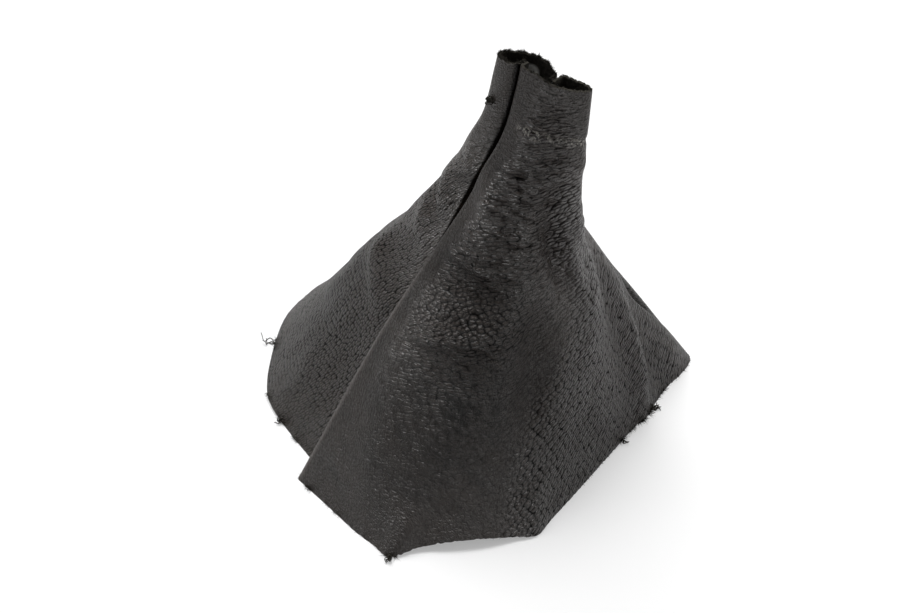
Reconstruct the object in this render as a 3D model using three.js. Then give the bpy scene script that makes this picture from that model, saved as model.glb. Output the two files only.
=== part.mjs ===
// Gear lever gaiter: a skirt of two soft leather panels, sewn together along
// two turned seams, with a flattened neck that grips the lever and a wide
// open hem that sits under the console frame. It stands on its hem, with its
// origin at the middle of its footprint. Lengths are in millimetres and
// angles in degrees, turned anticlockwise from +X as seen from above.

import * as THREE from "three";

// Overall sizes
const HEIGHT = 193;
const LEATHER = 1.3;

// Neck: a flattened tube, long along X, whose rim slopes down to the right
const NECK_HALF_LENGTH = 19.5;
const NECK_HALF_DEPTH = 5.6;
const NECK_SQUARENESS = 2.33;
const NECK_PINCH = 0.1;
const NECK_CENTRE = [50.1, 1.9];
const RIM_TILT = 3.5;
const REAR_RIM_DROP = 1.2;
const REAR_DROP_FROM = 46;
const REAR_DROP_TO = 80;
const REAR_DROP_OVER = 8;

// Hem: an uneven polygon. Each side has the way it faces and its distance
// from the hem's own centre, as a share of the hem's reach. The panels
// overlap in a step at the seams.
const HEM_REACH = 90;
const HEM_CENTRE = [6.9, 8];
const FRONT_SIDES = [[-117, 0.927], [-58, 1], [-9, 0.848], [90, 0.909]];
const REAR_SIDES = [[90, 0.909], [159.5, 1.222], [-160.5, 0.978], [-124.5, 0.802]];
const NECK_ROUNDING = 5;
const HEM_ROUNDING = 16;
const HEM_SHARPENING = 1.5;

// Lean: how fast the sections wander from above the neck to above the hem
const LEAN_X = 1.52;
const LEAN_Y = 1.56;

// Flare: towards each bearing the wall leaves the neck at this depth below
// the rim, and bends outwards over this length
const FLARE = [
  { toward: -121, depth: 23, over: 21 },
  { toward: -77, depth: 41, over: 29 },
  { toward: -38, depth: 59, over: 19 },
  { toward: 5, depth: 52, over: 10.5 },
  { toward: 45, depth: 56, over: 10.5 },
  { toward: 110, depth: 72, over: 13 },
  { toward: 165, depth: 1, over: 14 },
  { toward: 205, depth: 44, over: 24 },
];
const FLARE_FOCUS = 7;

// Seams: bearing of each at the rim and at the hem, and how it swings there.
// In the neck the allowances are turned aside, to stand square to the wall,
// and the rear panel rolls into the front-left seam with a fuller turn.
const FRONT_LEFT_SEAM = { rim: -153, hem: -115.5, aside: 35, roll: 3.2 };
const REAR_RIGHT_SEAM = { rim: 42, hem: 44, aside: 25, roll: 0 };
const ROLL_UNTIL = 0.5;
const SEAM_SWING = 0.75;
const ASIDE_UNTIL = 0.4;
const SEAM_ALLOWANCE = 8;
const GRAIN_GAP = 0.3;
const TURN_INSIDE = 0.9;

// Thread of the seams, on the flesh side of each allowance
const THREAD_DIAMETER = 0.6;
const THREAD_CLEARANCE = 0.3;
const THREAD_DEPTH = 0.75;

// Folds: soft ridges (height above 0) and hollows (below 0) of the leather,
// each along a line from one bearing and depth below the rim to another
const FRONT_FOLDS = [
  { name: "neck ridge", from: [-150, 36], to: [-80, 92], height: 2.2, width: 5 },
  { name: "neck hollow", from: [-92, 38], to: [-76, 96], height: -3, width: 6 },
  { name: "knee hollow", from: [-130, 88], to: [-68, 96], height: -3.5, width: 7 },
  { name: "knee", from: [-112, 115], to: [-66, 105], height: 2.8, width: 6 },
  { name: "neck diagonal", from: [-75, 52], to: [0, 34], height: 2.1, width: 4.5 },
  { name: "pleat", from: [-19, 64], to: [-12, 94], height: 2.6, width: 3 },
  { name: "pleat hollow", from: [-31, 64], to: [-20, 98], height: -3.2, width: 4 },
  { name: "pleat side", from: [2, 72], to: [-2, 98], height: -1.5, width: 3.5 },
  { name: "centre hollow", from: [-43, 100], to: [-48, 150], height: -6, width: 10 },
  { name: "centre edge", from: [-29, 106], to: [-36, 152], height: 2.5, width: 7 },
  { name: "wing ridge", from: [31, 84], to: [19, 193], height: 5, width: 5 },
  { name: "wing hollow", from: [39, 124], to: [31, 193], height: -5, width: 7 },
  { name: "right swell", from: [-2, 90], to: [-28, 160], height: 2.5, width: 13 },
  { name: "left ridge", from: [-123, 110], to: [-90, 193], height: 2, width: 10 },
  { name: "front hollow", from: [-93, 120], to: [-70, 185], height: -2.5, width: 16 },
  { name: "front corner", from: [-81, 176], to: [-81, 212], height: 5.5, width: 7 },
  { name: "right corner", from: [-43, 172], to: [-43, 206], height: 3, width: 7 },
];
const REAR_FOLDS = [
  { name: "upper crease", from: [187, 45], to: [206, 56], height: 1.5, width: 2.8 },
  { name: "second crease", from: [182, 60], to: [201, 77], height: 2.2, width: 3.2 },
  { name: "second dip", from: [170, 72], to: [192, 80], height: -4.2, width: 5 },
  { name: "third crease", from: [180, 78], to: [204, 92], height: 2.2, width: 4 },
  { name: "long crease", from: [175, 105], to: [210, 124], height: 3.6, width: 5.5 },
  { name: "rim flare", from: [180, -12], to: [180, 24], height: 1.1, width: 8 },
  { name: "shoulder", from: [168, 106], to: [180, 150], height: 3.8, width: 18 },
  { name: "left hollow", from: [200, 140], to: [225, 180], height: -2.5, width: 14 },
  { name: "rim dent", from: [62, -10], to: [64, 30], height: -1.2, width: 5 },
  { name: "back ridge", from: [92, 70], to: [100, 180], height: 3, width: 12 },
  { name: "back hollow", from: [122, 85], to: [130, 190], height: -4, width: 14 },
];
const SLANT = 1.15;
const FOLD_FADE = 1.2;

// Hem arches: stretches between the corners where the hem arches off the
// table and curls outwards, each with its share of the highest arch
const HEM_LIFT = 5.2;
const FRONT_ARCHES = [
  { middle: -62, half: 24, share: 1 },
  { middle: 9, half: 12, share: 0.3 },
];
const REAR_ARCHES = [
  { middle: 92, half: 26, share: 0.7 },
  { middle: 205, half: 12, share: 0.25 },
];
const LIFT_REACH = 45;
const HEM_CURL = 2.4;
const CURL_REACH = 12;

// Fineness of the surface
const ROWS = 28;
const FRONT_COLUMNS = 40;
const REAR_COLUMNS = 32;
const TURN_COLUMNS = 4;
const ALLOWANCE_COLUMNS = 2;
const THREAD_STEPS = 56;
const THREAD_SIDES = 6;

const LEATHER_FRONT = { color: 0x34322f, roughness: 0.55, metalness: 0 };
const LEATHER_REAR = { color: 0x393532, roughness: 0.55, metalness: 0 };
const THREAD_BLACK = { color: 0x1a1a1b, roughness: 0.8, metalness: 0 };

const rad = THREE.MathUtils.degToRad;
const FULL_TURN = 2 * Math.PI;

function easeInOut(x) {
  const c = Math.min(Math.max(x, 0), 1);
  return c * c * (3 - 2 * c);
}

// A ramp that is 0 at first, bends upwards softly at start, and ends at 1
function bentRamp(x, start, over) {
  const soft = (v) => over * Math.log1p(Math.exp(v / over));
  return (soft(x - start) - soft(-start)) / (soft(1 - start) - soft(-start));
}

// Section of the neck: a superellipse, thinner at its right end
function neckRadius(angle) {
  const depth = NECK_HALF_DEPTH * (1 - NECK_PINCH * Math.cos(angle));
  const along = Math.abs(Math.cos(angle) / NECK_HALF_LENGTH) ** NECK_SQUARENESS;
  const across = Math.abs(Math.sin(angle) / depth) ** NECK_SQUARENESS;
  return (along + across) ** (-1 / NECK_SQUARENESS);
}

// Outline of the hem: a polygon given by its sides, with rounded corners
function hemRadius(angle, sides, rounding) {
  let sum = 0;
  for (const [facing, share] of sides) {
    const cosine = Math.max(Math.cos(angle - rad(facing)), 0.08);
    sum += (cosine / (HEM_REACH * share)) ** rounding;
  }
  return sum ** (-1 / rounding);
}

// Where the flare starts and how softly it bends, towards any bearing
function flareToward(angle) {
  let weight = 0;
  let depth = 0;
  let over = 0;
  for (const flare of FLARE) {
    const pull = Math.exp(FLARE_FOCUS * (Math.cos(angle - rad(flare.toward)) - 1));
    weight += pull;
    depth += pull * flare.depth;
    over += pull * flare.over;
  }
  return { start: depth / weight / HEIGHT, over: over / weight / HEIGHT };
}

// Radius of the smooth cone before its folds. down runs from 0, rim, to 1, hem.
function coneRadius(angle, down, sides) {
  const rounding = NECK_ROUNDING + (HEM_ROUNDING - NECK_ROUNDING) * down ** HEM_SHARPENING;
  const flare = flareToward(angle);
  const neck = neckRadius(angle);
  const share = bentRamp(down, flare.start, flare.over);
  return neck + (hemRadius(angle, sides, rounding) - neck) * share;
}

// Signed turn from one bearing to another, the short way round
function turnBetween(from, to) {
  return Math.atan2(Math.sin(to - from), Math.cos(to - from));
}

// Height of all folds at a point: each falls away as a bell curve with the
// distance from its line, measured on the leather, and fades towards its ends
function foldHeight(angle, down, radius, folds) {
  let height = 0;
  for (const fold of folds) {
    const x = radius * turnBetween(rad(fold.from[0]), angle);
    const y = (down * HEIGHT - fold.from[1]) * SLANT;
    const lineX = radius * turnBetween(rad(fold.from[0]), rad(fold.to[0]));
    const lineY = (fold.to[1] - fold.from[1]) * SLANT;
    const along = (x * lineX + y * lineY) / (lineX ** 2 + lineY ** 2);
    const across = Math.hypot(x - along * lineX, y - along * lineY) / fold.width;
    const faded = FOLD_FADE * (2 * along - 1) ** 4;
    height += fold.height * Math.exp(-(across ** 2) - faded);
  }
  return height;
}

// Share of the hem's highest arch at a bearing: a smooth arch over each stretch
function archShare(angle, arches) {
  let sum = 0;
  for (const { middle, half, share } of arches) {
    const aside = Math.abs(turnBetween(rad(middle), angle)) / rad(half);
    if (aside < 1) sum += share * Math.cos((aside * Math.PI) / 2) ** 2;
  }
  return sum;
}

function rimHeight(angle, panel) {
  const tilt = HEIGHT - RIM_TILT * Math.cos(angle);
  const turned = (angle + FULL_TURN) % FULL_TURN;
  const over = rad(REAR_DROP_OVER);
  const begun = easeInOut((turned - rad(REAR_DROP_FROM)) / over);
  const ended = easeInOut((turned - rad(REAR_DROP_TO)) / over);
  return tilt - panel.rimDrop * begun * (1 - ended);
}

function sectionCentre(down) {
  const [hemX, hemY] = HEM_CENTRE;
  const [neckX, neckY] = NECK_CENTRE;
  const x = hemX + (neckX - hemX) * (1 - down ** LEAN_X);
  const y = hemY + (neckY - hemY) * (1 - down ** LEAN_Y);
  return new THREE.Vector2(x, y);
}

function seamAngle(seam, down) {
  return rad(seam.rim + (seam.hem - seam.rim) * easeInOut(down * SEAM_SWING));
}

// Radius of a panel's grain side: the cone, its folds and the curl of its hem
function panelRadius(angle, down, panel) {
  const cone = coneRadius(angle, down, panel.sides);
  const nearHem = easeInOut(1 - ((1 - down) * HEIGHT) / CURL_REACH);
  const curl = HEM_CURL * archShare(angle, panel.arches) * nearHem;
  return cone + foldHeight(angle, down, cone, panel.folds) + curl;
}

function panelHeight(angle, down, panel) {
  const nearHem = easeInOut(1 - ((1 - down) * HEIGHT) / LIFT_REACH);
  const lift = HEM_LIFT * archShare(angle, panel.arches) * nearHem;
  return rimHeight(angle, panel) * (1 - down) + lift;
}

function wallPoint(angle, down, panel) {
  const centre = sectionCentre(down);
  const radius = panelRadius(angle, down, panel);
  const x = centre.x + radius * Math.cos(angle);
  const y = centre.y + radius * Math.sin(angle);
  return new THREE.Vector3(x, y, panelHeight(angle, down, panel));
}

const FRONT = {
  sides: FRONT_SIDES,
  folds: FRONT_FOLDS,
  arches: FRONT_ARCHES,
  rimDrop: 0,
  columns: FRONT_COLUMNS,
  rolls: 0,
};

const REAR = {
  sides: REAR_SIDES,
  folds: REAR_FOLDS,
  arches: REAR_ARCHES,
  rimDrop: REAR_RIM_DROP,
  columns: REAR_COLUMNS,
  rolls: 1,
};

// Where the two panels meet at a seam: the point on the inner of their two
// walls, the way in which the allowances point, and how long they are
function seamFrame(seam, down) {
  const angle = seamAngle(seam, down);
  const front = panelRadius(angle, down, FRONT);
  const rear = panelRadius(angle, down, REAR);
  const centre = sectionCentre(down);
  const out = new THREE.Vector2(Math.cos(angle), Math.sin(angle));
  const bearing = angle + rad(seam.aside) * (1 - easeInOut(down / ASIDE_UNTIL));
  const neckAllowance = Math.min(SEAM_ALLOWANCE, NECK_HALF_DEPTH);
  const share = easeInOut(down / ASIDE_UNTIL);
  return {
    angle,
    bearing,
    origin: centre.addScaledVector(out, Math.min(front, rear)),
    allowance: neckAllowance + (SEAM_ALLOWANCE - neckAllowance) * share,
  };
}

// A point beside a seam, given by how far it is out from it and aside of it
function besideSeam(frame, out, aside, down, panel) {
  const cosine = Math.cos(frame.bearing);
  const sine = Math.sin(frame.bearing);
  const x = frame.origin.x + out * cosine - aside * sine;
  const y = frame.origin.y + out * sine + aside * cosine;
  return new THREE.Vector3(x, y, panelHeight(frame.angle, down, panel));
}

// The same two distances for a point of a panel's wall
function wallBesideSeam(frame, angle, down, panel) {
  const point = wallPoint(angle, down, panel);
  const x = point.x - frame.origin.x;
  const y = point.y - frame.origin.y;
  const cosine = Math.cos(frame.bearing);
  const sine = Math.sin(frame.bearing);
  return { out: x * cosine + y * sine, aside: y * cosine - x * sine };
}

// Direction in which a panel's wall leaves the seam, at one of its bearings
function wallDirection(frame, side, angle, down, panel) {
  const here = wallBesideSeam(frame, angle, down, panel);
  const beyond = wallBesideSeam(frame, angle + side * 0.01, down, panel);
  return new THREE.Vector2(beyond.out - here.out, beyond.aside - here.aside).normalize();
}

// One edge of a panel at a seam: the allowance lies flat against its
// neighbour, and turns into the outer wall with an arc that leaves room for
// the leather's thickness inside it. side is +1 where the panel runs on
// anticlockwise from the seam, and -1 where it runs clockwise.
function seamEdge(seam, side, down, panel) {
  const frame = seamFrame(seam, down);
  const gap = (side * GRAIN_GAP) / 2;
  const roll = panel.rolls * seam.roll * (1 - easeInOut(down / ROLL_UNTIL));
  const radius = LEATHER + TURN_INSIDE + roll;
  let angle = frame.angle;
  let wall = wallBesideSeam(frame, angle, down, panel);
  let direction = wallDirection(frame, side, angle, down, panel);
  for (let i = 0; i < 6; i++) {
    const half = Math.acos(-direction.x) / 2;
    const reach = (radius / Math.tan(half)) * Math.sin(2 * half);
    const missing = side * (gap - wall.aside) + reach;
    const perAngle = wallPoint(angle, down, panel).distanceTo(
      wallPoint(angle + 0.01, down, panel),
    );
    angle += (side * missing * 0.01) / (perAngle * Math.abs(direction.y));
    wall = wallBesideSeam(frame, angle, down, panel);
    direction = wallDirection(frame, side, angle, down, panel);
  }
  const leg = (wall.aside - gap) / direction.y;
  const corner = wall.out - leg * direction.x;
  const start = corner - leg;
  const weight = Math.sqrt((1 + direction.x) / 2);
  const points = [];
  for (let i = 0; i < ALLOWANCE_COLUMNS; i++) {
    const out = -frame.allowance + ((start + frame.allowance) * i) / ALLOWANCE_COLUMNS;
    points.push(besideSeam(frame, out, gap, down, panel));
  }
  for (let i = 0; i < TURN_COLUMNS; i++) {
    const s = i / TURN_COLUMNS;
    const shares = [(1 - s) ** 2, 2 * s * (1 - s) * weight, s ** 2];
    const total = shares[0] + shares[1] + shares[2];
    const out = (shares[0] * start + shares[1] * corner + shares[2] * wall.out) / total;
    const aside = gap + (shares[2] * (wall.aside - gap)) / total;
    points.push(besideSeam(frame, out, aside, down, panel));
  }
  return { points, angle };
}

// One section of a panel: allowance, turn, outer wall, turn, allowance
function panelSection(first, last, down, panel) {
  const opening = seamEdge(first, 1, down, panel);
  const closing = seamEdge(last, -1, down, panel);
  const sweep = (closing.angle - opening.angle + 2 * FULL_TURN) % FULL_TURN;
  const wall = [];
  for (let i = 0; i <= panel.columns; i++) {
    const angle = opening.angle + (sweep * i) / panel.columns;
    wall.push(wallPoint(angle, down, panel));
  }
  return [...opening.points, ...wall, ...closing.points.reverse()];
}

// Direction of a line of points at its middle one, where both steps count alike
function directionThrough(before, here, after) {
  const step = here.clone().sub(before).normalize();
  return step.add(after.clone().sub(here).normalize());
}

function gridNormal(rows, r, c) {
  const row = rows[r];
  const above = rows[Math.max(r - 1, 0)][c];
  const below = rows[Math.min(r + 1, rows.length - 1)][c];
  const down = directionThrough(above, row[c], below);
  const left = row[Math.max(c - 1, 0)];
  const right = row[Math.min(c + 1, row.length - 1)];
  return down.cross(directionThrough(left, row[c], right)).normalize();
}

// Flesh side: the grain side moved inwards by the thickness of the leather.
// Along the rim and the hem it moves level, so the cut edges stay flat.
function fleshSide(rows) {
  return rows.map((row, r) =>
    row.map((point, c) => {
      const normal = gridNormal(rows, r, c);
      const cutEdge = r === 0 || r === rows.length - 1;
      if (cutEdge) normal.setZ(0);
      const thickness = cutEdge ? LEATHER / normal.length() : LEATHER;
      return point.clone().addScaledVector(normal.normalize(), -thickness);
    }),
  );
}

// A closed sheet from its two sides: faces of both, and the strips that join
// them along the rim, the hem and the two ends of the allowances
function sheetGeometry(grain, flesh) {
  const height = grain.length;
  const width = grain[0].length;
  const position = [];
  for (const side of [grain, flesh]) {
    for (const row of side) for (const point of row) position.push(point.x, point.y, point.z);
  }
  const index = [];
  const at = (side, r, c) => side * height * width + r * width + c;
  const quad = (a, b, c, d) => index.push(a, b, c, a, c, d);
  for (let r = 0; r < height - 1; r++) {
    for (let c = 0; c < width - 1; c++) {
      quad(at(0, r, c), at(0, r + 1, c), at(0, r + 1, c + 1), at(0, r, c + 1));
      quad(at(1, r, c), at(1, r, c + 1), at(1, r + 1, c + 1), at(1, r + 1, c));
    }
    quad(at(0, r, 0), at(1, r, 0), at(1, r + 1, 0), at(0, r + 1, 0));
    const end = width - 1;
    quad(at(0, r, end), at(0, r + 1, end), at(1, r + 1, end), at(1, r, end));
  }
  for (let c = 0; c < width - 1; c++) {
    quad(at(0, 0, c), at(0, 0, c + 1), at(1, 0, c + 1), at(1, 0, c));
    const hem = height - 1;
    quad(at(0, hem, c), at(1, hem, c), at(1, hem, c + 1), at(0, hem, c + 1));
  }
  const geometry = new THREE.BufferGeometry();
  geometry.setAttribute("position", new THREE.Float32BufferAttribute(position, 3));
  geometry.setIndex(index);
  geometry.computeVertexNormals();
  return geometry;
}

function panelGeometry(first, last, panel) {
  const grain = [];
  for (let r = 0; r <= ROWS; r++) grain.push(panelSection(first, last, r / ROWS, panel));
  return sheetGeometry(grain, fleshSide(grain));
}

// Thread of one seam, on one side of it: it runs down the flesh side of the
// allowance, near its raw edge, from rim to hem
function threadGeometry(seam, side) {
  const aside = GRAIN_GAP / 2 + LEATHER + THREAD_CLEARANCE + THREAD_DIAMETER / 2;
  const points = [];
  for (let i = 0; i <= ROWS; i++) {
    const down = 0.01 + (0.98 * i) / ROWS;
    const frame = seamFrame(seam, down);
    points.push(besideSeam(frame, -THREAD_DEPTH * frame.allowance, side * aside, down, FRONT));
  }
  const shape = new THREE.Shape();
  shape.absarc(0, 0, THREAD_DIAMETER / 2, 0, FULL_TURN);
  return new THREE.ExtrudeGeometry(shape, {
    steps: THREAD_STEPS,
    curveSegments: THREAD_SIDES / 2,
    extrudePath: new THREE.CatmullRomCurve3(points),
  });
}

function addPiece(group, name, geometry, finish) {
  const piece = new THREE.Mesh(geometry, new THREE.MeshStandardMaterial(finish));
  piece.name = name;
  group.add(piece);
}

const gaiter = new THREE.Group();

// Front panel: one piece of leather, from the front-left seam round the
// front and the right side to the rear-right seam
addPiece(gaiter, "front_panel", panelGeometry(FRONT_LEFT_SEAM, REAR_RIGHT_SEAM, FRONT), LEATHER_FRONT);

// Rear panel: the second piece, round the back and the left side
addPiece(gaiter, "rear_panel", panelGeometry(REAR_RIGHT_SEAM, FRONT_LEFT_SEAM, REAR), LEATHER_REAR);

// Lockstitch of each seam: a needle thread on the front panel's allowance
// and a bobbin thread on the rear panel's
addPiece(gaiter, "front_left_needle_thread", threadGeometry(FRONT_LEFT_SEAM, 1), THREAD_BLACK);
addPiece(gaiter, "front_left_bobbin_thread", threadGeometry(FRONT_LEFT_SEAM, -1), THREAD_BLACK);
addPiece(gaiter, "rear_right_needle_thread", threadGeometry(REAR_RIGHT_SEAM, -1), THREAD_BLACK);
addPiece(gaiter, "rear_right_bobbin_thread", threadGeometry(REAR_RIGHT_SEAM, 1), THREAD_BLACK);

// Origin at the middle of the footprint
const footprint = new THREE.Box3().setFromObject(gaiter);
const middle = footprint.getCenter(new THREE.Vector3());
gaiter.position.set(-middle.x, -middle.y, 0);

export default gaiter;
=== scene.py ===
from functools import partial

import bpy
import numpy as np
from mathutils import Matrix


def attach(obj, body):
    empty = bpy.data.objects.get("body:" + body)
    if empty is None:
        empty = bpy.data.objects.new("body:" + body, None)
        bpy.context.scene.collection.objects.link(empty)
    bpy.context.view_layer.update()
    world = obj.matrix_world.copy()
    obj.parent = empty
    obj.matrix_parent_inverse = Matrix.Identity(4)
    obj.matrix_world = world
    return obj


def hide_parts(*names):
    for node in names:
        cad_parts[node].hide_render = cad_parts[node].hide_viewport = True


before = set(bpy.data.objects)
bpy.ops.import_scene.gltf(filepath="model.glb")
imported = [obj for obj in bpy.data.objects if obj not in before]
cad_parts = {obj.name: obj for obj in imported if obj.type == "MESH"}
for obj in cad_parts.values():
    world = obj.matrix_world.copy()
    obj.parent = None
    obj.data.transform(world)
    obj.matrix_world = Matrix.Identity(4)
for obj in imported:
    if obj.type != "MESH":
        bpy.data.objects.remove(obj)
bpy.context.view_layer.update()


# Front and rear panel: two pieces of soft grained cow leather, 1.3 mm thick,
# dyed black on the grain side and raw at the rim and the hem. Each is cut
# flat, its long edges are turned in, and both are sewn together along them.
HEIGHT = 193.0
LEATHER = 1.3

NECK_HALF_LENGTH = 19.5
NECK_HALF_DEPTH = 5.6
NECK_SQUARENESS = 2.33
NECK_PINCH = 0.1
NECK_CENTRE = (50.1, 1.9)
RIM_TILT = 3.5
REAR_RIM_DROP = 1.2
REAR_DROP_FROM = 46.0
REAR_DROP_TO = 80.0
REAR_DROP_OVER = 8.0

HEM_REACH = 90.0
HEM_CENTRE = (6.9, 8.0)
FRONT_SIDES = [(-117, 0.927), (-58, 1), (-9, 0.848), (90, 0.909)]
REAR_SIDES = [(90, 0.909), (159.5, 1.222), (-160.5, 0.978), (-124.5, 0.802)]
NECK_ROUNDING = 5.0
HEM_ROUNDING = 16.0
HEM_SHARPENING = 1.5

LEAN_X = 1.52
LEAN_Y = 1.56

# Towards each bearing the wall leaves the neck at a depth and bends outwards
# over a length: (bearing, depth, over)
FLARE = [
    (-121, 23, 21), (-77, 41, 29), (-38, 59, 19), (5, 52, 10.5),
    (45, 56, 10.5), (110, 72, 13), (165, 1, 14), (205, 44, 24),
]
FLARE_FOCUS = 7.0

FRONT_LEFT_SEAM = {"rim": -153, "hem": -115.5, "aside": 35, "roll": 3.2}
REAR_RIGHT_SEAM = {"rim": 42, "hem": 44, "aside": 25, "roll": 0}
ROLL_UNTIL = 0.5
SEAM_SWING = 0.75
ASIDE_UNTIL = 0.4
SEAM_ALLOWANCE = 8.0
GRAIN_GAP = 0.3
TURN_INSIDE = 0.9

# Folds: (bearing, depth) of both ends of each line, then height and width
FRONT_FOLDS = [
    ((-150, 36), (-80, 92), 2.2, 5),
    ((-92, 38), (-76, 96), -3, 6),
    ((-130, 88), (-68, 96), -3.5, 7),
    ((-112, 115), (-66, 105), 2.8, 6),
    ((-75, 52), (0, 34), 2.1, 4.5),
    ((-19, 64), (-12, 94), 2.6, 3),
    ((-31, 64), (-20, 98), -3.2, 4),
    ((2, 72), (-2, 98), -1.5, 3.5),
    ((-43, 100), (-48, 150), -6, 10),
    ((-29, 106), (-36, 152), 2.5, 7),
    ((31, 84), (19, 193), 5, 5),
    ((39, 124), (31, 193), -5, 7),
    ((-2, 90), (-28, 160), 2.5, 13),
    ((-123, 110), (-90, 193), 2, 10),
    ((-93, 120), (-70, 185), -2.5, 16),
    ((-81, 176), (-81, 212), 5.5, 7),
    ((-43, 172), (-43, 206), 3, 7),
]
REAR_FOLDS = [
    ((187, 45), (206, 56), 1.5, 2.8),
    ((182, 60), (201, 77), 2.2, 3.2),
    ((170, 72), (192, 80), -4.2, 5),
    ((180, 78), (204, 92), 2.2, 4),
    ((175, 105), (210, 124), 3.6, 5.5),
    ((180, -12), (180, 24), 1.1, 8),
    ((168, 106), (180, 150), 3.8, 18),
    ((200, 140), (225, 180), -2.5, 14),
    ((62, -10), (64, 30), -1.2, 5),
    ((92, 70), (100, 180), 3, 12),
    ((122, 85), (130, 190), -4, 14),
]
SLANT = 1.15
FOLD_FADE = 1.2

# Stretches where the hem arches off the table: (middle, half, share)
HEM_LIFT = 5.2
FRONT_ARCHES = [(-62, 24, 1), (9, 12, 0.3)]
REAR_ARCHES = [(92, 26, 0.7), (205, 12, 0.25)]
LIFT_REACH = 45.0
HEM_CURL = 2.4
CURL_REACH = 12.0

FRONT = {"sides": FRONT_SIDES, "folds": FRONT_FOLDS, "arches": FRONT_ARCHES, "drop": 0.0, "rolls": 0}
REAR = {
    "sides": REAR_SIDES, "folds": REAR_FOLDS, "arches": REAR_ARCHES,
    "drop": REAR_RIM_DROP, "rolls": 1,
}
FOOTPRINT_MIDDLE = np.array([0.656, 0.144, 0.0])

PANEL_ROWS = 228
WALL_COLUMNS = 260
ALLOWANCE_COLUMNS = 6
TURN_COLUMNS = 8
EDGE_COLUMNS = ALLOWANCE_COLUMNS + TURN_COLUMNS
SHARP_FROM = np.radians(62)

# Unevenness of the cut edges: the height and length of its waves, and how far
# the middle of the cut stands out at the rim, from and to
RIM_WAVES = [(0.3, 2.2), (0.15, 0.9)]
HEM_WAVE = (0.5, 3.0)
RIM_CUT = (-0.1, 0.45)

# Over how many millimetres the relief fades towards the turns, rim and hem,
# and the cut edges' waves fade into the panel
RELIEF_FADE = {"turn": 6.0, "rim": 2.0, "hem": 3.0}
WAVE_FADE = {"rim": 4.0, "hem": 3.0}


def ease(x):
    """A step from 0 to 1 with soft ends: 3c squared less 2c cubed, c being x held between 0 and 1."""
    c = np.clip(x, 0, 1)
    return c * c * (3 - 2 * c)


def bent_ramp(x, start, over):
    """0 up to start, then rising to 1 at 1: the softplus of (x - start) / over, levelled at both ends."""
    def soft(v):
        return over * np.logaddexp(0, v / over)
    return (soft(x - start) - soft(-start)) / (soft(1 - start) - soft(-start))


def neck_radius(angle):
    """A superellipse, thinner at its right end."""
    depth = NECK_HALF_DEPTH * (1 - NECK_PINCH * np.cos(angle))
    along = np.abs(np.cos(angle) / NECK_HALF_LENGTH) ** NECK_SQUARENESS
    across = np.abs(np.sin(angle) / depth) ** NECK_SQUARENESS
    return (along + across) ** (-1 / NECK_SQUARENESS)


def hem_radius(angle, sides, rounding):
    """A polygon given by its sides. Its corners are rounded by adding high powers of each side's share."""
    total, least = 0, 0.08
    for facing, share in sides:
        cosine = np.maximum(np.cos(angle - np.radians(facing)), least)
        total = total + (cosine / (HEM_REACH * share)) ** rounding
    return total ** (-1 / rounding)


def cone_radius(angle, down, sides):
    """The neck's radius blended into the hem's along a bent ramp. Its start and softness are means over the
    bearings of FLARE, weighted by how near each is."""
    weight, start, over = 0, 0, 0
    for toward, depth, bend in FLARE:
        pull = np.exp(FLARE_FOCUS * (np.cos(angle - np.radians(toward)) - 1))
        weight, start, over = weight + pull, start + pull * depth, over + pull * bend
    rounding = NECK_ROUNDING + (HEM_ROUNDING - NECK_ROUNDING) * down**HEM_SHARPENING
    neck = neck_radius(angle)
    share = bent_ramp(down, start / weight / HEIGHT, over / weight / HEIGHT)
    return neck + (hem_radius(angle, sides, rounding) - neck) * share


def turn_between(start, end):
    """The signed turn from one bearing to another, the short way round."""
    return np.arctan2(np.sin(end - start), np.cos(end - start))


def fold_height(angle, down, radius, folds):
    """The sum of all folds: a bell curve of the distance from each line, fading towards the line's ends."""
    height = 0
    for (from_angle, from_depth), (to_angle, to_depth), peak, width in folds:
        from_angle, to_angle = np.radians(from_angle), np.radians(to_angle)
        x = radius * turn_between(from_angle, angle)
        y = (down * HEIGHT - from_depth) * SLANT
        line_x = radius * turn_between(from_angle, to_angle)
        line_y = (to_depth - from_depth) * SLANT
        along = (x * line_x + y * line_y) / (line_x**2 + line_y**2)
        across = np.hypot(x - along * line_x, y - along * line_y) / width
        height = height + peak * np.exp(-(across**2) - FOLD_FADE * (2 * along - 1) ** 4)
    return height


def arch_share(angle, arches):
    """Squared cosine over each stretch where the hem arches."""
    total = 0
    for middle, half, share in arches:
        aside = np.abs(turn_between(np.radians(middle), angle)) / np.radians(half)
        total = total + np.where(aside < 1, share * np.cos(np.minimum(aside, 1) * np.pi / 2) ** 2, 0)
    return total


def panel_radius(angle, down, panel):
    """Radius of the grain side: the cone, its folds and the curl of its hem."""
    cone = cone_radius(angle, down, panel["sides"])
    near_hem = ease(1 - (1 - down) * HEIGHT / CURL_REACH)
    curl = HEM_CURL * arch_share(angle, panel["arches"]) * near_hem
    return cone + fold_height(angle, down, cone, panel["folds"]) + curl


def panel_height(angle, down, panel):
    """Height above the table: the rim's own height fading evenly to 0 at the hem, and the arches' lift."""
    over = np.radians(REAR_DROP_OVER)
    turned = np.mod(angle, 2 * np.pi)
    begun = ease((turned - np.radians(REAR_DROP_FROM)) / over)
    ended = ease((turned - np.radians(REAR_DROP_TO)) / over)
    rim = HEIGHT - RIM_TILT * np.cos(angle) - panel["drop"] * begun * (1 - ended)
    near_hem = ease(1 - (1 - down) * HEIGHT / LIFT_REACH)
    return rim * (1 - down) + HEM_LIFT * arch_share(angle, panel["arches"]) * near_hem


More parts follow.
